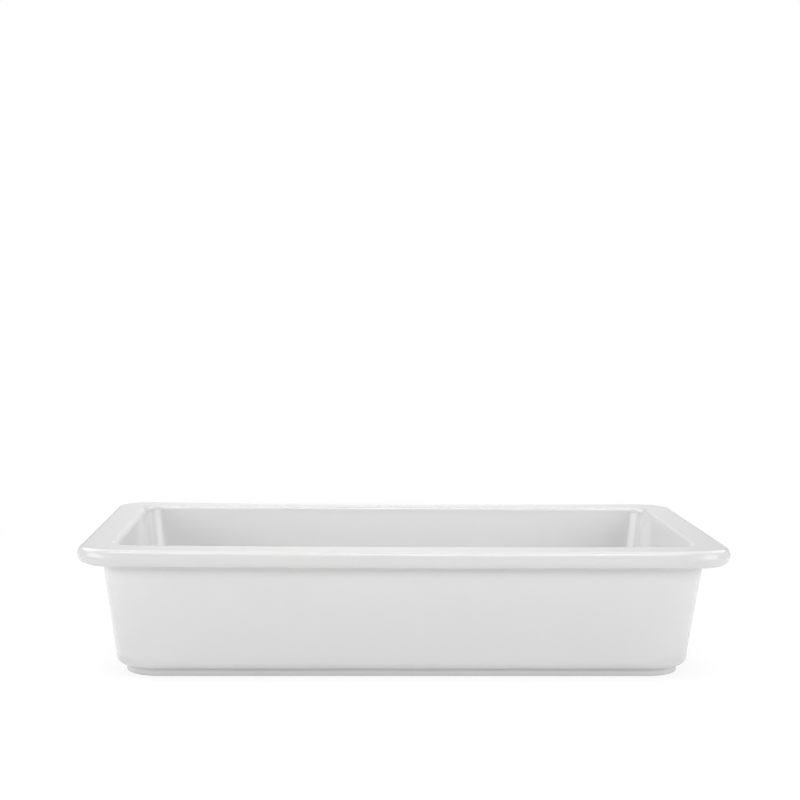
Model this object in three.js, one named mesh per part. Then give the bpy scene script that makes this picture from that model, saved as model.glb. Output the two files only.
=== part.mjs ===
// Porcelain baking dish of the one-third gastronorm size: a rectangular pan with tapered
// walls, a flat rolled rim that overhangs them and a low foot ring, cast in one piece.
//
// Millimetres, +Z up. The origin is at the centre of the dish on the table under its foot
// ring, X runs along the length and Y across it. The dish is one closed loft: a section
// path of lines and arcs starts under the floor, goes round the foot, up the wall, over the
// rim and down into the cavity, and each station on it carries a rounded rectangle.
import * as THREE from 'three';

// Overall sizes, over the rim
const LENGTH = 325;
const WIDTH = 176;
const HEIGHT = 67;

// Rim: a flat flange with a swollen edge between two rolls
const RIM_OVERHANG = 9.9;       // from the outer edge to the wall, on the underside
const RIM_WIDTH = 18.3;         // from the outer edge to the cavity, at the top
const RIM_THICKNESS = 8.8;
const RIM_TOP_ROLL = 3.6;
const RIM_UNDER_ROLL = 4.2;
const RIM_SWELL = THREE.MathUtils.degToRad(22);  // lean of the edge's face where each roll starts
const RIM_CORNER = 20;          // plan radius at the outer edge
const RIM_COVE = 4;             // fillet between the underside and the wall

// Walls
const WALL_DRAFT = THREE.MathUtils.degToRad(6.9);  // of the outside and of the cavity
const WALL_CORNER_TOP = 25.5;   // plan radius of the outside, under the rim
const WALL_CORNER_LOW = 27.5;   // and where it turns under to the foot
const BELLY_RADIUS = 4.7;       // the turn from the wall to the underside

// Cavity
const MOUTH_ROLL = 2;           // the turn from the rim's top to the wall
const MOUTH_CORNER = 9;         // plan radius at the inner edge of the rim
const CAVITY_CORNER = 10;       // plan radius where the wall turns into the floor
const FLOOR_COVE = 11;          // fillet between the wall and the floor
const FLOOR_CORNER = 3;         // plan radius of the flat floor inside that fillet
const FLOOR_LEVEL = 9.5;        // height of the floor inside, above the table

// Foot ring
const FOOT_HEIGHT = 4;
const FOOT_LEDGE = 0.5;         // flat left between the belly and the cove of the foot
const FOOT_COVE = 0.6;          // fillet between the ring's outer face and the ledge
const FOOT_WIDTH = 7;           // of the flat that stands on the table
const FOOT_EDGE = 0.8;          // rounding of the ring's outer edge
const FOOT_CORNER = 18;         // plan radius of the ring's outer face
const RECESS_DEPTH = 2;         // of the panel inside the ring
const RECESS_EASE = THREE.MathUtils.degToRad(60);
const RECESS_CORNER = 6;        // plan radius of the panel

// Fineness of the facets
const CORNER_STEPS = 12;
const ARC_STEP = THREE.MathUtils.degToRad(15);
const SAME_POINT = 1e-6;

// A section path: stations of inset from the rim's outer edge, height and plan corner radius
class SectionPath {
  constructor(inset, z, corner) {
    this.stations = [{ inset, z, corner }];
  }

  get end() {
    return this.stations.at(-1);
  }

  // Straight to a point, unless the path is there already
  line(inset, z, corner) {
    if (Math.hypot(inset - this.end.inset, z - this.end.z) > SAME_POINT) {
      this.stations.push({ inset, z, corner });
    }
    return this;
  }

  // Arc about a centre, from one angle to another, measured from inwards towards up. The path
  // runs straight to the arc's start, and the corner radius changes evenly along the arc. An even
  // number of steps puts a station at its middle, which is where the rim reaches furthest out.
  arc(centre, radius, from, to, corner) {
    const steps = 2 * Math.ceil(Math.abs(to - from) / (2 * ARC_STEP));
    const first = this.end.corner;
    for (let i = 0; i <= steps; i++) {
      const along = i / steps;
      const angle = THREE.MathUtils.lerp(from, to, along);
      this.line(
        centre.inset + radius * Math.cos(angle),
        centre.z + radius * Math.sin(angle),
        THREE.MathUtils.lerp(first, corner, along),
      );
    }
    return this;
  }
}

const QUARTER = Math.PI / 2;
const underRim = HEIGHT - RIM_THICKNESS;

// Inset of the wall's two faces at a height: each leans in by the draft from its place under or
// at the top of the rim
const outerWall = (z) => RIM_OVERHANG + (underRim - z) * Math.tan(WALL_DRAFT);
const innerWall = (z) => RIM_WIDTH + (HEIGHT - z) * Math.tan(WALL_DRAFT);

// Centre of an arc that touches a level face at one height and a wall face. The arc lies up
// or down from the level face, and inwards or outwards from the wall.
function wallArcCentre(wall, level, radius, up, inwards) {
  const z = level + up * radius;
  return { inset: wall(z) + inwards * radius / Math.cos(WALL_DRAFT), z };
}

const belly = wallArcCentre(outerWall, FOOT_HEIGHT, BELLY_RADIUS, 1, 1);
const rimCove = wallArcCentre(outerWall, underRim, RIM_COVE, -1, -1);
const mouth = wallArcCentre(innerWall, HEIGHT, MOUTH_ROLL, -1, -1);
const floorCove = wallArcCentre(innerWall, FLOOR_LEVEL, FLOOR_COVE, 1, 1);

// The rim's edge is three tangent arcs: a roll at the bottom, the swollen face, whose outermost
// point has no inset, and a roll at the top
const rolls = RIM_TOP_ROLL + RIM_UNDER_ROLL;
const edgeRadius = ((RIM_THICKNESS - rolls) / Math.sin(RIM_SWELL) + rolls) / 2;
const rollInset = (radius) => edgeRadius - (edgeRadius - radius) * Math.cos(RIM_SWELL);
const topRoll = { inset: rollInset(RIM_TOP_ROLL), z: HEIGHT - RIM_TOP_ROLL };
const underRoll = { inset: rollInset(RIM_UNDER_ROLL), z: underRim + RIM_UNDER_ROLL };
const edge = { inset: edgeRadius, z: topRoll.z - (edgeRadius - RIM_TOP_ROLL) * Math.sin(RIM_SWELL) };

// The ring's outer face stands inside the belly by the ledge and the cove
const footFace = belly.inset + FOOT_LEDGE + FOOT_COVE;
const footFlatStart = footFace + FOOT_EDGE;
const footFlatEnd = footFlatStart + FOOT_WIDTH;
// Two equal arcs rise from the ring's flat to the recessed panel
const recessRadius = RECESS_DEPTH / (2 * (1 - Math.cos(RECESS_EASE)));
const recessEnd = footFlatEnd + 2 * recessRadius * Math.sin(RECESS_EASE);
const footCornerInside = Math.max(FOOT_CORNER - FOOT_EDGE - FOOT_WIDTH, RECESS_CORNER);

function dishSection() {
  const path = new SectionPath(recessEnd, RECESS_DEPTH, RECESS_CORNER);
  // Out of the recess, across the ring's flat and up its outer face
  path.arc(
    { inset: recessEnd, z: RECESS_DEPTH - recessRadius },
    recessRadius, QUARTER, QUARTER + RECESS_EASE, (RECESS_CORNER + footCornerInside) / 2,
  );
  path.arc(
    { inset: footFlatEnd, z: recessRadius },
    recessRadius, RECESS_EASE - QUARTER, -QUARTER, footCornerInside,
  );
  path.line(footFlatStart, 0, FOOT_CORNER - FOOT_EDGE);
  path.arc({ inset: footFlatStart, z: FOOT_EDGE }, FOOT_EDGE, -QUARTER, -2 * QUARTER, FOOT_CORNER);
  path.arc(
    { inset: footFace - FOOT_COVE, z: FOOT_HEIGHT - FOOT_COVE },
    FOOT_COVE, 0, QUARTER, FOOT_CORNER,
  );
  // Round the belly, up the wall and out under the rim
  path.arc(belly, BELLY_RADIUS, -QUARTER, WALL_DRAFT - 2 * QUARTER, WALL_CORNER_LOW);
  path.line(
    rimCove.inset + RIM_COVE * Math.cos(WALL_DRAFT),
    rimCove.z + RIM_COVE * Math.sin(WALL_DRAFT),
    WALL_CORNER_TOP,
  );
  path.arc(rimCove, RIM_COVE, WALL_DRAFT, QUARTER, WALL_CORNER_TOP);
  // Round the rim's edge and across its top
  path.line(underRoll.inset, underRim, RIM_CORNER - underRoll.inset);
  path.arc(underRoll, RIM_UNDER_ROLL, -QUARTER, RIM_SWELL - 2 * QUARTER, RIM_CORNER);
  path.arc(edge, edgeRadius, RIM_SWELL - 2 * QUARTER, -RIM_SWELL - 2 * QUARTER, RIM_CORNER);
  path.arc(topRoll, RIM_TOP_ROLL, -RIM_SWELL - 2 * QUARTER, -3 * QUARTER, RIM_CORNER - topRoll.inset);
  path.line(mouth.inset, HEIGHT, MOUTH_CORNER + MOUTH_ROLL);
  // Over the mouth, down the cavity and round into the floor
  path.arc(mouth, MOUTH_ROLL, QUARTER, WALL_DRAFT, MOUTH_CORNER);
  path.line(
    floorCove.inset - FLOOR_COVE * Math.cos(WALL_DRAFT),
    floorCove.z - FLOOR_COVE * Math.sin(WALL_DRAFT),
    CAVITY_CORNER,
  );
  path.arc(floorCove, FLOOR_COVE, WALL_DRAFT - 2 * QUARTER, -QUARTER, FLOOR_CORNER);
  return path.stations;
}

// The points of one rounded rectangle, anticlockwise seen from above
function outline({ inset, z, corner }) {
  const halfX = LENGTH / 2 - inset;
  const halfY = WIDTH / 2 - inset;
  const points = [];
  for (let quarter = 0; quarter < 4; quarter++) {
    const signX = quarter === 0 || quarter === 3 ? 1 : -1;
    const signY = quarter < 2 ? 1 : -1;
    for (let i = 0; i <= CORNER_STEPS; i++) {
      const angle = (quarter + i / CORNER_STEPS) * QUARTER;
      points.push(new THREE.Vector3(
        signX * (halfX - corner) + corner * Math.cos(angle),
        signY * (halfY - corner) + corner * Math.sin(angle),
        z,
      ));
    }
  }
  return points;
}

// A closed shell through the stations, with a flat fan at each end
function loft(stations) {
  const positions = [];
  const indices = [];
  const size = 4 * (CORNER_STEPS + 1);
  for (const station of stations) {
    for (const point of outline(station)) positions.push(...point.toArray());
  }
  for (let row = 0; row + 1 < stations.length; row++) {
    for (let i = 0; i < size; i++) {
      const a = row * size + i;
      const b = row * size + (i + 1) % size;
      indices.push(a, b, b + size, a, b + size, a + size);
    }
  }
  const underCentre = positions.length / 3;
  const floorCentre = underCentre + 1;
  positions.push(0, 0, stations[0].z, 0, 0, stations.at(-1).z);
  const last = (stations.length - 1) * size;
  for (let i = 0; i < size; i++) {
    const next = (i + 1) % size;
    indices.push(underCentre, next, i);
    indices.push(floorCentre, last + i, last + next);
  }
  const geometry = new THREE.BufferGeometry();
  geometry.setAttribute('position', new THREE.Float32BufferAttribute(positions, 3));
  geometry.setIndex(indices);
  geometry.computeVertexNormals();
  return geometry;
}

const glazedPorcelain = new THREE.MeshStandardMaterial({ color: 0xf3f3f1, roughness: 0.12, metalness: 0 });

const dish = new THREE.Mesh(loft(dishSection()), glazedPorcelain);
dish.name = 'dish';

const bakingDish = new THREE.Group();
bakingDish.add(dish);

export default bakingDish;
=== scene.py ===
"""Looks of a white porcelain baking dish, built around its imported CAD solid.

The dish is one surface. A section path of lines and arcs runs from the middle of the recess under
the floor, round the foot ring, up the wall, over the rolled rim and down the cavity to the middle
of the floor. Each point of the path is carried round a rounded rectangle. Everything is in metres
in the frame of the solid: X along the length, Y across it towards the back, Z up from the table.
"""

import math
from collections import namedtuple

import bpy
import numpy as np
from mathutils import Matrix, Vector


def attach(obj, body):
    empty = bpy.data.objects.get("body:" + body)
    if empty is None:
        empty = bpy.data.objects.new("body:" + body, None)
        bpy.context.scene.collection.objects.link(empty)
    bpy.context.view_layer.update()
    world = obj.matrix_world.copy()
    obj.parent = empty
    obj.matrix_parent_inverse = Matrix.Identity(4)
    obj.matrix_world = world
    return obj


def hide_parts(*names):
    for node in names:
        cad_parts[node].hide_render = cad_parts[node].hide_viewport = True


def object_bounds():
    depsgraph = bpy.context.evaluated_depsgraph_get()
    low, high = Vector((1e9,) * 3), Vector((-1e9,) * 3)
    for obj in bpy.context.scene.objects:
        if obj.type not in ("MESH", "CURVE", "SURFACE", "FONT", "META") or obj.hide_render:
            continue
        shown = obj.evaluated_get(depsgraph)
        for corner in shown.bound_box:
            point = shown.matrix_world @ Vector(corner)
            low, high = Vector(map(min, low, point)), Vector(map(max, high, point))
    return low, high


bl_info = {
    "name": "Porcelain baking dish",
    "version": (1, 0, 0),
    "blender": (4, 5, 0),
    "location": "View3D > Sidebar > Baking dish",
    "description": "Casts and glazes a porcelain baking dish and lights it in a plain studio",
    "category": "Add Mesh",
}

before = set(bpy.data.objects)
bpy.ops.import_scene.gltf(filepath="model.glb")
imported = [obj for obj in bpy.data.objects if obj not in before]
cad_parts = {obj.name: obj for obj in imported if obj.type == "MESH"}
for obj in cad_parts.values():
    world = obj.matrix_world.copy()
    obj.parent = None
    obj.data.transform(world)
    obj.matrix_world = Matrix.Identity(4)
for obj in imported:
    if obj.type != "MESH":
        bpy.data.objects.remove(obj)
CAD_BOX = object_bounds()
CAD_SIZE = CAD_BOX[1] - CAD_BOX[0]

MM = 0.001
QUARTER = math.pi / 2

# Fineness of the surface
ARC_STEP = math.radians(5)      # along the section's arcs
LINE_STEPS = 14                 # along the section's straight runs, closer near their ends
CORNER_STEPS = 22               # round a plan corner
SIDE_STEPS = 25                 # along a plan side, closer near the corners
MIDDLE_RINGS = 6                # from the edge of a flat middle to its pole
SAME_POINT = 1e-9               # metres within which two stations are one
TABLE_TOUCH = 0.05 * MM         # height under which a ring stands on the table

# Camera
SENSOR_WIDTH = 36.0             # in millimetres, as Blender counts lenses
NEAREST_SEEN = 0.01             # in metres

# Softboxes of the studio: the heading each one stands at, in degrees to the right of the camera's side,
# its angle above the dish, its distance, its face in metres, and how bright that face is, where one is
# the brightness of the white background
Softbox = namedtuple("Softbox", "name heading rise distance width height brightness")
SOFTBOXES = (
    Softbox("softbox_left", -57, 15, 1.6, 1.56, 0.66, 3.45),
    Softbox("softbox_right", 48, 18, 1.6, 1.49, 0.85, 3.17),
    Softbox("softbox_left_side", -118, 38, 1.7, 1.40, 0.70, 2.6),
    Softbox("softbox_right_side", 118, 38, 1.7, 1.40, 0.70, 1.9),
    Softbox("softbox_overhead", -4, 77, 2.0, 1.15, 0.60, 6.4),
    Softbox("softbox_rear", 180, 58, 2.0, 2.60, 1.30, 1.3),
)
# The point inside the dish that they all face
LAMP_TARGET = Vector((0.0, 0.0, 0.04))


# Values that a user would change

def linear(hex_code):
    """Linear colour of an sRGB hex code."""
    parts = [int(hex_code[i:i + 2], 16) / 255 for i in (1, 3, 5)]
    return tuple(p / 12.92 if p <= 0.04045 else ((p + 0.055) / 1.055) ** 2.4 for p in parts)


def size(name, description, metres):
    """A length in metres, which the panel shows in the scene's unit."""
    return bpy.props.FloatProperty(
        name=name, description=description, default=metres, min=0.0, precision=5, unit="LENGTH")


def angle(name, description, degrees):
    return bpy.props.FloatProperty(
        name=name, description=description, default=math.radians(degrees),
        unit="ROTATION", subtype="ANGLE")


def colour(name, description, hex_code):
    return bpy.props.FloatVectorProperty(
        name=name, description=description, default=linear(hex_code), min=0.0, max=1.0,
        size=3, subtype="COLOR")


def share(name, description, value):
    return bpy.props.FloatProperty(
        name=name, description=description, default=value, min=0.0, soft_max=1.0, subtype="FACTOR")


class DishSizes(bpy.types.PropertyGroup):
    """Sizes of the casting: over all, and section by section from the rim to the foot ring."""

    length: size("Length", "Over the rim, along X", CAD_SIZE.x)
    width: size("Width", "Over the rim, along Y", CAD_SIZE.y)
    height: size("Height", "From the table to the top of the rim", CAD_SIZE.z)

    rim_overhang: size("Rim overhang", "From the outer edge to the wall, on the underside", 9.9 * MM)
    rim_width: size("Rim width", "From the outer edge to the cavity, at the top", 18.3 * MM)
    rim_thickness: size("Rim thickness", "From the underside to the top", 8.8 * MM)
    rim_top_roll: size("Top roll", "Radius between the rim's top and its edge", 3.6 * MM)
    rim_under_roll: size("Under roll", "Radius between the rim's edge and its underside", 4.2 * MM)
    rim_swell: angle("Edge swell", "Lean of the edge's face where each roll starts", 22)
    rim_corner: size("Rim corner", "Plan radius at the outer edge", 20 * MM)
    rim_cove: size("Rim cove", "Fillet between the underside and the wall", 4 * MM)

    wall_draft: angle("Wall draft", "Lean of the walls from upright, outside and in the cavity", 6.9)
    wall_corner_top: size("Wall corner, top", "Plan radius of the outside under the rim", 25.5 * MM)
    wall_corner_low: size("Wall corner, low", "Plan radius of the outside at the belly", 27.5 * MM)
    belly_radius: size("Belly", "Turn from the wall to the underside", 4.7 * MM)

    mouth_roll: size("Mouth roll", "Turn from the rim's top to the inner wall", 3.2 * MM)
    mouth_corner: size("Mouth corner", "Plan radius at the inner edge of the rim", 9 * MM)
    cavity_corner: size("Cavity corner", "Plan radius where the wall turns into the floor", 10 * MM)
    floor_cove: size("Floor cove", "Fillet between the inner wall and the floor", 11 * MM)
    floor_corner: size("Floor corner", "Plan radius of the flat floor", 3 * MM)
    floor_level: size("Floor level", "Height of the floor inside", 9.5 * MM)

    foot_height: size("Foot height", "From the table to the belly", 4 * MM)
    foot_ledge: size("Foot ledge", "Flat between the belly and the foot's cove", 0.5 * MM)
    foot_cove: size("Foot cove", "Fillet between the foot's outer face and the ledge", 0.6 * MM)
    foot_width: size("Foot width", "Of the flat that stands on the table", 7 * MM)
    foot_edge: size("Foot edge", "Rounding of the foot's outer edge", 0.8 * MM)
    foot_corner: size("Foot corner", "Plan radius of the foot's outer face", 18 * MM)
    recess_depth: size("Recess depth", "Of the panel inside the foot ring", 2 * MM)
    recess_ease: angle("Recess ease", "Turn of the two arcs that rise into the recess", 60)
    recess_corner: size("Recess corner", "Plan radius of the recessed panel", 6 * MM)

    kiln_sag: size("Kiln sag", "How far the rim's long sides sank at their middle", 1.0 * MM)
    kiln_draw: size("Kiln draw", "How far the rim's long sides drew in at their middle", 0.3 * MM)


class DishFinish(bpy.types.PropertyGroup):
    """Colours of the glaze and of the bare body."""

    glaze: colour("Glaze", "Where the glaze lies at its usual depth", "#E5E5E5")
    # Painted shade: the cove tone is darker than the usual glaze, partly for glaze that pools there and
    # partly as painted shade under the rim, round the floor of the cavity and at the foot
    pooled_glaze_and_shade: colour("Pooled glaze", "Where the glaze ran together in a cove", "#D4D5D5")
    # Painted shade: the edge tone is darker than the usual glaze, as painted shade on the rim's rolled
    # edge and other rounded edges, and a little warmer where the glaze drew thin
    thin_glaze_and_shade: colour("Thin glaze", "Where the glaze drew thin over a rolled edge", "#DFDFDE")
    body: colour("Bare body", "The ground face of the foot ring", "#DEDBD4")
    glaze_roughness: share("Glaze roughness", "Of the fired gloss", 0.03)


class StudioView(bpy.types.PropertyGroup):
    """Camera and light of the plain studio."""

    camera_place: bpy.props.FloatVectorProperty(
        name="Camera place", description="Where the lens stands", size=3,
        default=(-0.034418, -0.841295, 0.193198), unit="LENGTH", subtype="TRANSLATION")
    heading: angle("Heading", "Turn of the camera to the right of +Y", 2.2649)
    tilt: angle("Tilt", "Turn of the camera below the horizon", 4.00154)
    roll: angle("Roll", "Turn of the camera about its own line of sight, clockwise", -0.56436)
    focal_length: bpy.props.FloatProperty(
        name="Focal length", description="Of the lens, for a sensor 36 mm wide",
        default=70.607, min=1.0, unit="CAMERA")
    paper: colour("Paper", "The sweep of white paper that the dish stands on", "#EDEDED")
    ambient: share("Ambient light", "Brightness of the room as light, where one is white", 0.01)
    room: share("Room", "Brightness of the room round the backdrop, as the glaze shows it", 0.51)


# Section of the dish

class SectionPath:
    """Stations along the section: inset from the rim's outer edge, height, and plan corner radius."""

    def __init__(self, inset, z, corner):
        self.runs = [np.array([[inset, z, corner]])]

    def line(self, inset, z, corner):
        """Straight to a point, with stations closer together near both ends."""
        start = self.runs[-1][-1]
        end = np.array([inset, z, corner])
        if np.hypot(*(end - start)[:2]) > SAME_POINT:
            along = 0.5 - 0.5 * np.cos(np.linspace(0, math.pi, LINE_STEPS + 1)[1:, None])
            self.runs.append(start + (end - start) * along)

    def arc(self, centre, radius, first, last, corner):
        """Arc about a centre between two angles, measured from inwards towards up.

        The path runs straight to the arc's start, and the corner radius changes evenly along it.
        """
        first_corner = self.runs[-1][-1][2]
        start = centre[0] + radius * math.cos(first), centre[1] + radius * math.sin(first)
        self.line(*start, first_corner)
        steps = 2 * math.ceil(abs(last - first) / (2 * ARC_STEP))
        turn = np.linspace(first, last, steps + 1)[1:]
        self.runs.append(np.stack([
            centre[0] + radius * np.cos(turn),
            centre[1] + radius * np.sin(turn),
            np.linspace(first_corner, corner, steps + 1)[1:],
        ], axis=1))

    def stations(self):
        return np.concatenate(self.runs)


def dish_section(s):
    """The section, from the edge of the recess under the floor to the edge of the flat floor inside.

    Walls lean by the draft, so their inset grows by its tangent times the drop below the rim. Every
    turn is an arc tangent to its neighbours. The rim's edge is three arcs: a roll, a swollen face
    whose outermost point has no inset, and a roll.
    """
    draft = s.wall_draft
    under_rim = s.height - s.rim_thickness

    def outer_wall(z):
        return s.rim_overhang + (under_rim - z) * math.tan(draft)

    def inner_wall(z):
        return s.rim_width + (s.height - z) * math.tan(draft)

    def wall_arc(wall, level, radius, up, inwards):
        """Centre of an arc that touches a level face and a wall."""
        z = level + up * radius
        return wall(z) + inwards * radius / math.cos(draft), z

    belly = wall_arc(outer_wall, s.foot_height, s.belly_radius, 1, 1)
    rim_cove = wall_arc(outer_wall, under_rim, s.rim_cove, -1, -1)
    mouth = wall_arc(inner_wall, s.height, s.mouth_roll, -1, -1)
    floor_cove = wall_arc(inner_wall, s.floor_level, s.floor_cove, 1, 1)

    swell = s.rim_swell
    rolls = s.rim_top_roll + s.rim_under_roll
    edge_radius = ((s.rim_thickness - rolls) / math.sin(swell) + rolls) / 2

    def roll_inset(radius):
        return edge_radius - (edge_radius - radius) * math.cos(swell)

    top_roll = roll_inset(s.rim_top_roll), s.height - s.rim_top_roll
    under_roll = roll_inset(s.rim_under_roll), under_rim + s.rim_under_roll
    edge = edge_radius, top_roll[1] - (edge_radius - s.rim_top_roll) * math.sin(swell)

    foot_face = belly[0] + s.foot_ledge + s.foot_cove
    foot_start = foot_face + s.foot_edge
    foot_end = foot_start + s.foot_width
    ease = s.recess_ease
    recess_radius = s.recess_depth / (2 * (1 - math.cos(ease)))
    recess_end = foot_end + 2 * recess_radius * math.sin(ease)
    ring_corner = max(s.foot_corner - s.foot_edge - s.foot_width, s.recess_corner)

    path = SectionPath(recess_end, s.recess_depth, s.recess_corner)
    # Out of the recess, across the flat of the ring and up its outer face
    path.arc((recess_end, s.recess_depth - recess_radius), recess_radius, QUARTER, QUARTER + ease,
             (s.recess_corner + ring_corner) / 2)
    path.arc((foot_end, recess_radius), recess_radius, ease - QUARTER, -QUARTER, ring_corner)
    path.line(foot_start, 0.0, s.foot_corner - s.foot_edge)
    path.arc((foot_start, s.foot_edge), s.foot_edge, -QUARTER, -2 * QUARTER, s.foot_corner)
    path.arc((foot_face - s.foot_cove, s.foot_height - s.foot_cove), s.foot_cove, 0.0, QUARTER,
             s.foot_corner)
    # Round the belly, up the wall and out under the rim
    path.arc(belly, s.belly_radius, -QUARTER, draft - 2 * QUARTER, s.wall_corner_low)
    path.line(rim_cove[0] + s.rim_cove * math.cos(draft),
              rim_cove[1] + s.rim_cove * math.sin(draft),
              s.wall_corner_top)
    path.arc(rim_cove, s.rim_cove, draft, QUARTER, s.wall_corner_top)
    # Round the edge of the rim and across its top
    path.line(under_roll[0], under_rim, s.rim_corner - under_roll[0])
    path.arc(under_roll, s.rim_under_roll, -QUARTER, swell - 2 * QUARTER, s.rim_corner)
    path.arc(edge, edge_radius, swell - 2 * QUARTER, -swell - 2 * QUARTER, s.rim_corner)
    path.arc(top_roll, s.rim_top_roll, -swell - 2 * QUARTER, -3 * QUARTER, s.rim_corner - top_roll[0])
    path.line(mouth[0], s.height, s.mouth_corner + s.mouth_roll)
    # Over the mouth, down the cavity and round into the floor
    path.arc(mouth, s.mouth_roll, QUARTER, draft, s.mouth_corner)
    path.line(floor_cove[0] - s.floor_cove * math.cos(draft),
              floor_cove[1] - s.floor_cove * math.sin(draft),
              s.cavity_corner)
    path.arc(floor_cove, s.floor_cove, draft - 2 * QUARTER, -QUARTER, s.floor_corner)
    return path.stations()


def carried_round(stations, s):
    """Rings of points, one rounded rectangle for each station, anticlockwise seen from above.

    A rectangle's half sides are those of the dish less the station's inset. Each corner is a quarter
    circle of the station's plan radius, and a side runs from the end of one to the start of the next.
    """
    inset, z, corner = stations.T[:, :, None]
    sign_x = np.array([1, -1, -1, 1])
    sign_y = np.array([1, 1, -1, -1])
    turn = QUARTER * (np.arange(4)[:, None] + np.linspace(0, 1, CORNER_STEPS + 1))
    centre_x = sign_x * (s.length / 2 - inset - corner)
    centre_y = sign_y * (s.width / 2 - inset - corner)
    arcs = np.stack([
        centre_x[:, :, None] + corner[:, :, None] * np.cos(turn),
        centre_y[:, :, None] + corner[:, :, None] * np.sin(turn),
    ], axis=3)
    along = 0.5 - 0.5 * np.cos(np.linspace(0, math.pi, SIDE_STEPS + 2)[1:-1, None])
    ends = arcs[:, :, -1:]
    starts = np.roll(arcs[:, :, :1], -1, axis=1)
    sides = ends + (starts - ends) * along
    plan = np.concatenate([arcs, sides], axis=2).reshape(len(stations), -1, 2)
    heights = np.broadcast_to(z[:, :, None], plan.shape[:2] + (1,))
    return np.concatenate([plan, heights], axis=2)


def closed_to_poles(rings):
    """The rings with more rings inside the first and the last, each the same outline drawn towards
    the middle by an even share, so that both flat middles close in a pole."""
    shares = np.linspace(0, 1, MIDDLE_RINGS + 1)[1:, None, None] * np.array([1.0, 1.0, 0.0])
    under = rings[0] * (shares + np.array([0.0, 0.0, 1.0]))
    floor = rings[-1] * (shares + np.array([0.0, 0.0, 1.0]))
    return np.concatenate([under[:-1], rings, floor[-2::-1]])


def kiln_warped(points, s):
    """The long sides after the firing: at each point they sink by the sag and draw in by the draw,
    times one less the square of the share of the half length, times the square of the share of the
    height, so that the ends, the corners and the foot stay true. The sag grows with a power of the
    share of the half width: the whole front side sank, and at the back only the rim's edge did."""
    front_power = 2
    back_power = 8
    x, y, z = np.moveaxis(points, -1, 0)
    amount = (1 - np.clip(x / (s.length / 2), -1, 1) ** 2) * (z / s.height) ** 2
    across = y / (s.width / 2)
    bend = np.abs(across) ** np.where(y > 0, back_power, front_power)
    return np.stack([
        x,
        y - across * s.kiln_draw * amount,
        z - bend * s.kiln_sag * amount,
    ], axis=-1)


def pooling_and_shade(stations):
    """How deep the glaze's tone is painted at each station: above zero in a hollow, where glaze pools
    and painted shade darkens it, and below zero on an edge, where glaze draws thin and painted shade
    darkens it a little.

    The section's turning per length, counted in turns of a 3 mm radius and limited smoothly to plus
    or minus one. It is smoothed along the section, because glaze runs out over an edge's ends.
    """
    reference = 3 * MM
    reach = 1.5 * MM
    step = np.diff(stations[:, :2], axis=0)
    length = np.hypot(*step.T)
    heading = np.unwrap(np.arctan2(step[:, 1], step[:, 0]))
    between = 0.5 * (length[1:] + length[:-1])
    turning = np.pad(np.diff(heading) / between, 1)
    weight = np.pad(between, 1, mode="edge")
    along = np.append(0.0, np.cumsum(length))
    near = np.exp(-0.5 * ((along[:, None] - along) / reach) ** 2) * weight
    return np.tanh(near @ turning / near.sum(axis=1) * reference)


# Mesh

def skin_mesh(name, rings):
    """Mesh of the rings: quads between neighbours, closed round, and a fan to a pole at each end."""
    count, around = rings.shape[:2]
    index = np.arange(count * around).reshape(count, around)
    after = np.roll(index, -1, axis=1)
    quads = np.stack([index[:-1], after[:-1], after[1:], index[1:]], axis=2).reshape(-1, 4)
    poles = np.array([[0.0, 0.0, rings[0, 0, 2]], [0.0, 0.0, rings[-1, 0, 2]]])
    under_pole = np.full(around, count * around)
    fans = np.concatenate([
        np.stack([under_pole, after[0], index[0]], axis=1),
        np.stack([under_pole + 1, index[-1], after[-1]], axis=1),
    ])
    points = np.concatenate([rings.reshape(-1, 3), poles])
    corners = np.concatenate([quads.ravel(), fans.ravel()])
    starts = np.concatenate([4 * np.arange(len(quads)), quads.size + 3 * np.arange(len(fans))])
    mesh = bpy.data.meshes.new(name)
    mesh.vertices.add(len(points))
    mesh.vertices.foreach_set("co", points.ravel())
    mesh.loops.add(len(corners))
    mesh.loops.foreach_set("vertex_index", corners)
    mesh.polygons.add(len(starts))
    mesh.polygons.foreach_set("loop_start", starts)
    mesh.update(calc_edges=True)
    mesh.shade_smooth()
    return mesh


def put_in_scene(name, data):
    thing = bpy.data.objects.new(name, data)
    bpy.context.scene.collection.objects.link(thing)
    return thing


# Materials

def add_node(tree, kind, inputs=(), **settings):
    """A node with its settings, and its inputs set to values or linked to other nodes' outputs."""
    node = tree.nodes.new(kind)
    for key, value in settings.items():
        setattr(node, key, value)
    for key, value in dict(inputs).items():
        if isinstance(value, bpy.types.NodeSocket):
            tree.links.new(value, node.inputs[key])
        else:
            node.inputs[key].default_value = value
    return node


def empty_tree(owner):
    owner.use_nodes = True
    owner.node_tree.nodes.clear()
    return owner.node_tree


def opaque(rgb):
    return (*rgb, 1.0)


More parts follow.
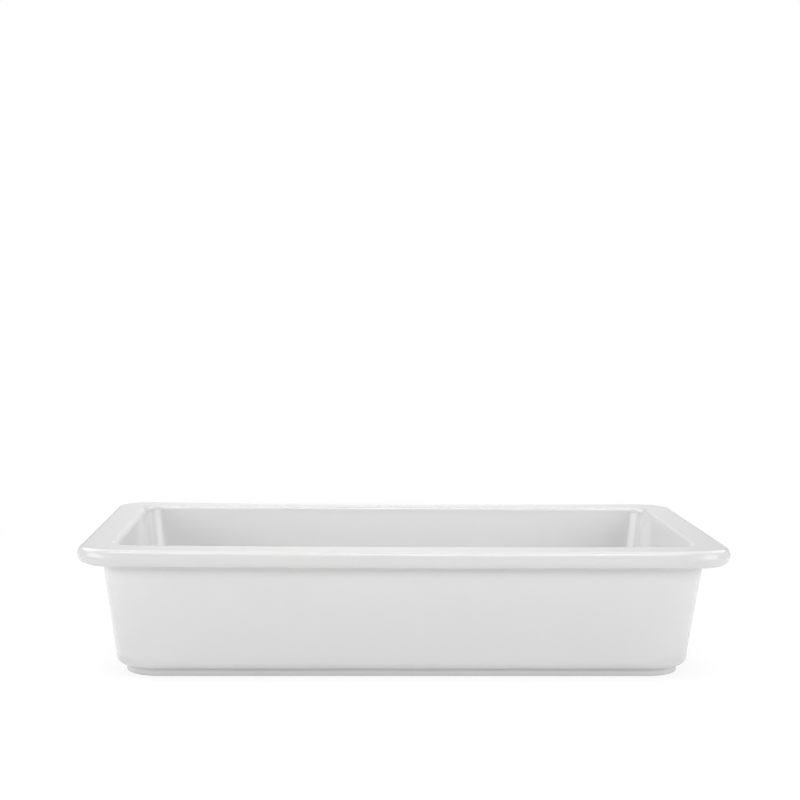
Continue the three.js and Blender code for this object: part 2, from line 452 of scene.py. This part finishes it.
def glazed_porcelain(finish):
    """Hard porcelain, cast, dipped in clear feldspar glaze and fired glossy.

    To the eye it is a clean neutral white under a clear hard gloss. The gloss ripples very slightly,
    as a fired glaze does. Its tone and gloss drift a little over a hand's width. It is deeper in tone
    in a cove, where the glaze pools and painted shade darkens it. Over a rolled edge it is a little
    warmer where the glaze drew thin, and a little darker as painted shade.
    """
    ripple_width = 25 * MM
    ripple_depth = 0.002 * MM
    drift_width = 70 * MM
    drift_share = 0.5           # of the drift that moves the depth, which runs from minus to plus one
    gloss_drift = 0.2           # of the roughness, up and down
    material = bpy.data.materials.new("porcelain_clear_glazed")
    tree = empty_tree(material)
    place = add_node(tree, "ShaderNodeTexCoord").outputs["Object"]
    # The section's curvature, which darkens coves and rolled edges: glaze pooling or thinning, and
    # painted shade
    depth = add_node(tree, "ShaderNodeAttribute", attribute_name="pooling_and_shade").outputs["Fac"]
    drift = add_node(tree, "ShaderNodeTexNoise", {
        "Vector": place, "Scale": 1 / drift_width, "Detail": 2.0, "Roughness": 0.5,
    }).outputs["Fac"]
    ripple = add_node(tree, "ShaderNodeTexNoise", {
        "Vector": place, "Scale": 1 / ripple_width, "Detail": 1.0, "Roughness": 0.4,
    }).outputs["Fac"]
    # Drift runs from zero to one and moves the depth up or down a little, and depth picks the tone,
    # darker in coves and on rolled edges: partly glaze pooling or thinning, partly painted shade
    drifted = add_node(tree, "ShaderNodeMath", {
        0: drift, 1: drift_share, 2: -drift_share / 2,
    }, operation="MULTIPLY_ADD").outputs[0]
    total = add_node(tree, "ShaderNodeMath", {0: depth, 1: drifted}, operation="ADD").outputs[0]
    level = add_node(tree, "ShaderNodeMapRange", {
        "Value": total, "From Min": -1.0, "From Max": 1.0,
    }).outputs["Result"]
    tone = add_node(tree, "ShaderNodeValToRGB", {"Fac": level})
    # Painted shade: both ends of the ramp, for rolled edges and for coves, are darker than the usual
    # glaze
    ramp = tone.color_ramp.elements
    ramp[0].color = opaque(finish.thin_glaze_and_shade)
    ramp[1].color = opaque(finish.pooled_glaze_and_shade)
    ramp.new(0.5).color = opaque(finish.glaze)
    roughness = add_node(tree, "ShaderNodeMapRange", {
        "Value": drift,
        "To Min": finish.glaze_roughness * (1 - gloss_drift),
        "To Max": finish.glaze_roughness * (1 + gloss_drift),
    }).outputs["Result"]
    bump = add_node(tree, "ShaderNodeBump", {
        "Height": ripple, "Strength": 1.0, "Distance": ripple_depth,
    })
    shader = add_node(tree, "ShaderNodeBsdfPrincipled", {
        "Base Color": tone.outputs["Color"],
        "Roughness": roughness,
        "IOR": 1.52,
        "Normal": bump.outputs["Normal"],
    })
    add_node(tree, "ShaderNodeOutputMaterial", {"Surface": shader.outputs[0]})
    return material


def ground_porcelain(finish):
    """Porcelain body, left without glaze and ground flat after the firing.

    To the eye it is a dry, slightly warm white with a fine even tooth, and faint darker specks.
    """
    grit_width = 0.5 * MM
    grit_depth = 0.03 * MM
    speck_width = 2.5 * MM
    speck_from = 0.62           # noise above which a speck starts
    speck_full = 0.72           # and above which it is at its darkest
    speck_share = 0.5           # of the dusty tone in the darkest speck
    dusty_share = 0.6           # of the body's brightness that the dusty tone has
    material = bpy.data.materials.new("porcelain_body_ground")
    tree = empty_tree(material)
    place = add_node(tree, "ShaderNodeTexCoord").outputs["Object"]
    grit = add_node(tree, "ShaderNodeTexNoise", {
        "Vector": place, "Scale": 1 / grit_width, "Detail": 3.0,
    }).outputs["Fac"]
    speck = add_node(tree, "ShaderNodeTexNoise", {
        "Vector": place, "Scale": 1 / speck_width, "Detail": 4.0, "Roughness": 0.7,
    }).outputs["Fac"]
    worn = add_node(tree, "ShaderNodeMapRange", {
        "Value": speck, "From Min": speck_from, "From Max": speck_full, "To Max": speck_share,
    }).outputs["Result"]
    dusty = tuple(dusty_share * c for c in finish.body)
    tone = add_node(tree, "ShaderNodeMix", {
        "Factor": worn, 6: opaque(finish.body), 7: opaque(dusty),
    }, data_type="RGBA").outputs[2]
    bump = add_node(tree, "ShaderNodeBump", {"Height": grit, "Strength": 1.0, "Distance": grit_depth})
    shader = add_node(tree, "ShaderNodeBsdfPrincipled", {
        "Base Color": tone, "Roughness": 0.75, "IOR": 1.5, "Normal": bump.outputs["Normal"],
    })
    add_node(tree, "ShaderNodeOutputMaterial", {"Surface": shader.outputs[0]})
    return material


def seen_directly(tree):
    """One for a ray that looks, from the camera, by reflection or through glass, and zero for light."""
    path = add_node(tree, "ShaderNodeLightPath").outputs
    looks = add_node(tree, "ShaderNodeMath", {
        0: path["Is Camera Ray"], 1: path["Is Glossy Ray"],
    }, operation="MAXIMUM").outputs[0]
    return add_node(tree, "ShaderNodeMath", {
        0: looks, 1: path["Is Transmission Ray"],
    }, operation="MAXIMUM").outputs[0]


def white_paper(view):
    """Matt white background paper, lit until it is white, with what it keeps of the dish's shadow.

    Seen directly it adds a share of white to its own diffuse light, so that its open part is white
    and the shadow shows only as a pale grey. Away from the dish it is plain white.
    """
    kept_shadow = 0.25          # share of its diffuse light that shows
    open_white = 0.8            # share of white that is added to it
    shadow_reach = 0.25         # metres from the middle of the dish, up to which that holds
    plain_from = 0.50           # and from which the paper is plain white
    material = bpy.data.materials.new("paper_matt_white")
    tree = empty_tree(material)
    matt = add_node(tree, "ShaderNodeBsdfDiffuse", {"Color": opaque(view.paper)})
    shadow = add_node(tree, "ShaderNodeBsdfDiffuse", {"Color": opaque((kept_shadow,) * 3)})
    lit = add_node(tree, "ShaderNodeEmission", {"Strength": open_white})
    near = add_node(tree, "ShaderNodeAddShader", {0: shadow.outputs[0], 1: lit.outputs[0]})
    far = add_node(tree, "ShaderNodeEmission", {"Strength": 1.0})
    place = add_node(tree, "ShaderNodeTexCoord").outputs["Object"]
    distance = add_node(tree, "ShaderNodeVectorMath", {0: place}, operation="LENGTH").outputs["Value"]
    away = add_node(tree, "ShaderNodeMapRange", {
        "Value": distance, "From Min": shadow_reach, "From Max": plain_from,
    }, interpolation_type="SMOOTHSTEP").outputs["Result"]
    bright = add_node(tree, "ShaderNodeMixShader", {"Fac": away, 1: near.outputs[0], 2: far.outputs[0]})
    surface = add_node(tree, "ShaderNodeMixShader", {
        "Fac": seen_directly(tree), 1: matt.outputs[0], 2: bright.outputs[0],
    })
    add_node(tree, "ShaderNodeOutputMaterial", {"Surface": surface.outputs[0]})
    return material


# Operators

class BAKINGDISH_OT_cast_dish(bpy.types.Operator):
    """Cast the dish from its sizes, fire it, glaze it and set it on the solid"""

    bl_idname = "bakingdish.cast_dish"
    bl_label = "Cast the dish"

    def execute(self, context):
        sizes = context.scene.baking_dish_sizes
        finish = context.scene.baking_dish_finish
        stations = dish_section(sizes)
        rings = closed_to_poles(carried_round(stations, sizes))
        # The curvature value that darkens coves and rolled edges: glaze pooling or thinning, and
        # painted shade
        depth = np.pad(pooling_and_shade(stations), MIDDLE_RINGS - 1)
        fired = kiln_warped(rings, sizes)
        mesh = skin_mesh("glazed_dish", fired)
        count, around = fired.shape[:2]

        # Painted shade together with the glaze's pooling: the value that darkens coves and rolled edges
        shade_and_pooling_layer = mesh.attributes.new("pooling_and_shade", "FLOAT", "POINT")
        per_point = np.append(np.repeat(depth, around), [0.0, 0.0])
        shade_and_pooling_layer.data.foreach_set("value", per_point.astype(np.float32))

        mesh.materials.append(glazed_porcelain(finish))
        mesh.materials.append(ground_porcelain(finish))
        on_table = fired[:, 0, 2] < TABLE_TOUCH
        ground = on_table[:-1] & on_table[1:]
        faces = np.zeros(len(mesh.polygons), dtype=np.int32)
        faces[:(count - 1) * around] = np.repeat(ground, around)
        mesh.polygons.foreach_set("material_index", faces)

        dish = put_in_scene("glazed_dish", mesh)
        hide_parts("dish")
        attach(dish, "root")
        return {"FINISHED"}


class BAKINGDISH_OT_set_stage(bpy.types.Operator):
    """Lay the paper, hang the lamps, light the studio and stand the camera"""

    bl_idname = "bakingdish.set_stage"
    bl_label = "Set the stage"

    def execute(self, context):
        view = context.scene.baking_dish_view
        self.lay_paper(view)
        self.light_studio(context, view)
        for box in SOFTBOXES:
            self.hang_softbox(box)
        self.stand_camera(context, view)
        context.scene.view_settings.view_transform = "Standard"
        return {"FINISHED"}

    def lay_paper(self, view):
        """A flat sheet just under the foot ring."""
        half = 12.0
        below = -0.1 * MM
        turns = ((-half, -half), (half, -half), (half, half), (-half, half))
        mesh = bpy.data.meshes.new("paper")
        mesh.from_pydata([(x, y, below) for x, y in turns], [], [(0, 1, 2, 3)])
        mesh.materials.append(white_paper(view))
        put_in_scene("paper", mesh)

    def light_studio(self, context, view):
        """A dim room with a lit backdrop behind the dish.

        The camera sees plain white. The glaze shows white in a soft oval behind the dish and the
        room's own level all round it. A direction's place in the oval is its distance from the
        middle direction, stretched along each axis. As light the room gives the ambient level.
        """
        middle = (0.03, 1.0, 0.05)
        stretch = (1.5, 1.0, 1.2)
        white_to = 0.10
        faded_from = 0.42
        world = bpy.data.worlds.new("plain_studio")
        context.scene.world = world
        tree = empty_tree(world)
        direction = add_node(tree, "ShaderNodeTexCoord").outputs["Generated"]
        offset = add_node(tree, "ShaderNodeVectorMath", {
            0: direction, 1: middle,
        }, operation="SUBTRACT").outputs[0]
        scaled = add_node(tree, "ShaderNodeVectorMath", {
            0: offset, 1: stretch,
        }, operation="MULTIPLY").outputs[0]
        away = add_node(tree, "ShaderNodeVectorMath", {0: scaled}, operation="LENGTH").outputs["Value"]
        oval = add_node(tree, "ShaderNodeMapRange", {
            "Value": away, "From Min": white_to, "From Max": faded_from, "To Min": 1.0, "To Max": 0.0,
        }, interpolation_type="SMOOTHSTEP").outputs["Result"]
        shown = add_node(tree, "ShaderNodeMapRange", {
            "Value": oval, "To Min": view.room, "To Max": 1.0,
        }).outputs["Result"]
        path = add_node(tree, "ShaderNodeLightPath").outputs
        seen = add_node(tree, "ShaderNodeMath", {
            0: path["Is Camera Ray"], 1: path["Is Transmission Ray"],
        }, operation="MAXIMUM").outputs[0]
        reflected = add_node(tree, "ShaderNodeMapRange", {
            "Value": path["Is Glossy Ray"], "To Min": view.ambient, "To Max": shown,
        }).outputs["Result"]
        level = add_node(tree, "ShaderNodeMath", {0: reflected, 1: seen}, operation="MAXIMUM")
        light = add_node(tree, "ShaderNodeBackground", {
            "Color": (1.0, 1.0, 1.0, 1.0), "Strength": level.outputs[0],
        })
        add_node(tree, "ShaderNodeOutputWorld", {"Surface": light.outputs[0]})

    def hang_softbox(self, box):
        """A rectangular lamp aimed at the dish. Its power is pi times its area times its brightness."""
        lamp = bpy.data.lights.new(box.name, "AREA")
        lamp.shape = "RECTANGLE"
        lamp.size = box.width
        lamp.size_y = box.height
        lamp.energy = math.pi * box.width * box.height * box.brightness
        holder = put_in_scene(box.name, lamp)
        heading = math.radians(box.heading)
        rise = math.radians(box.rise)
        holder.location = LAMP_TARGET + box.distance * Vector((
            math.sin(heading) * math.cos(rise),
            -math.cos(heading) * math.cos(rise),
            math.sin(rise),
        ))
        holder.rotation_euler = (LAMP_TARGET - holder.location).to_track_quat("-Z", "Y").to_euler()
        holder.visible_camera = False

    def stand_camera(self, context, view):
        """Turned to its heading, tilted and rolled, with no shift."""
        camera = bpy.data.cameras.new("studio_camera")
        camera.sensor_width = SENSOR_WIDTH
        camera.lens = view.focal_length
        camera.clip_start = NEAREST_SEEN
        stand = put_in_scene("studio_camera", camera)
        turn = (
            Matrix.Rotation(-view.heading, 4, "Z")
            @ Matrix.Rotation(QUARTER - view.tilt, 4, "X")
            @ Matrix.Rotation(-view.roll, 4, "Z")
        )
        stand.matrix_world = Matrix.Translation(view.camera_place) @ turn
        context.scene.camera = stand


class BAKINGDISH_PT_sidebar(bpy.types.Panel):
    """Baking dish: its operators, sizes and colours"""

    bl_label = "Baking dish"
    bl_space_type = "VIEW_3D"
    bl_region_type = "UI"
    bl_category = "Baking dish"

    def draw(self, context):
        layout = self.layout
        for operator in OPERATORS:
            layout.operator(operator.bl_idname)
        for group, owner in GROUPS.items():
            box = layout.box()
            for name in owner.__annotations__:
                box.prop(getattr(context.scene, group), name)


OPERATORS = (BAKINGDISH_OT_cast_dish, BAKINGDISH_OT_set_stage)
GROUPS = {
    "baking_dish_sizes": DishSizes,
    "baking_dish_finish": DishFinish,
    "baking_dish_view": StudioView,
}
CLASSES = (*GROUPS.values(), *OPERATORS, BAKINGDISH_PT_sidebar)


def register():
    for one in CLASSES:
        bpy.utils.register_class(one)
    for group, owner in GROUPS.items():
        setattr(bpy.types.Scene, group, bpy.props.PointerProperty(type=owner))


def unregister():
    for group in GROUPS:
        delattr(bpy.types.Scene, group)
    for one in reversed(CLASSES):
        bpy.utils.unregister_class(one)


def main():
    register()
    bpy.ops.bakingdish.cast_dish()
    bpy.ops.bakingdish.set_stage()


if __name__ == "__main__":
    main()
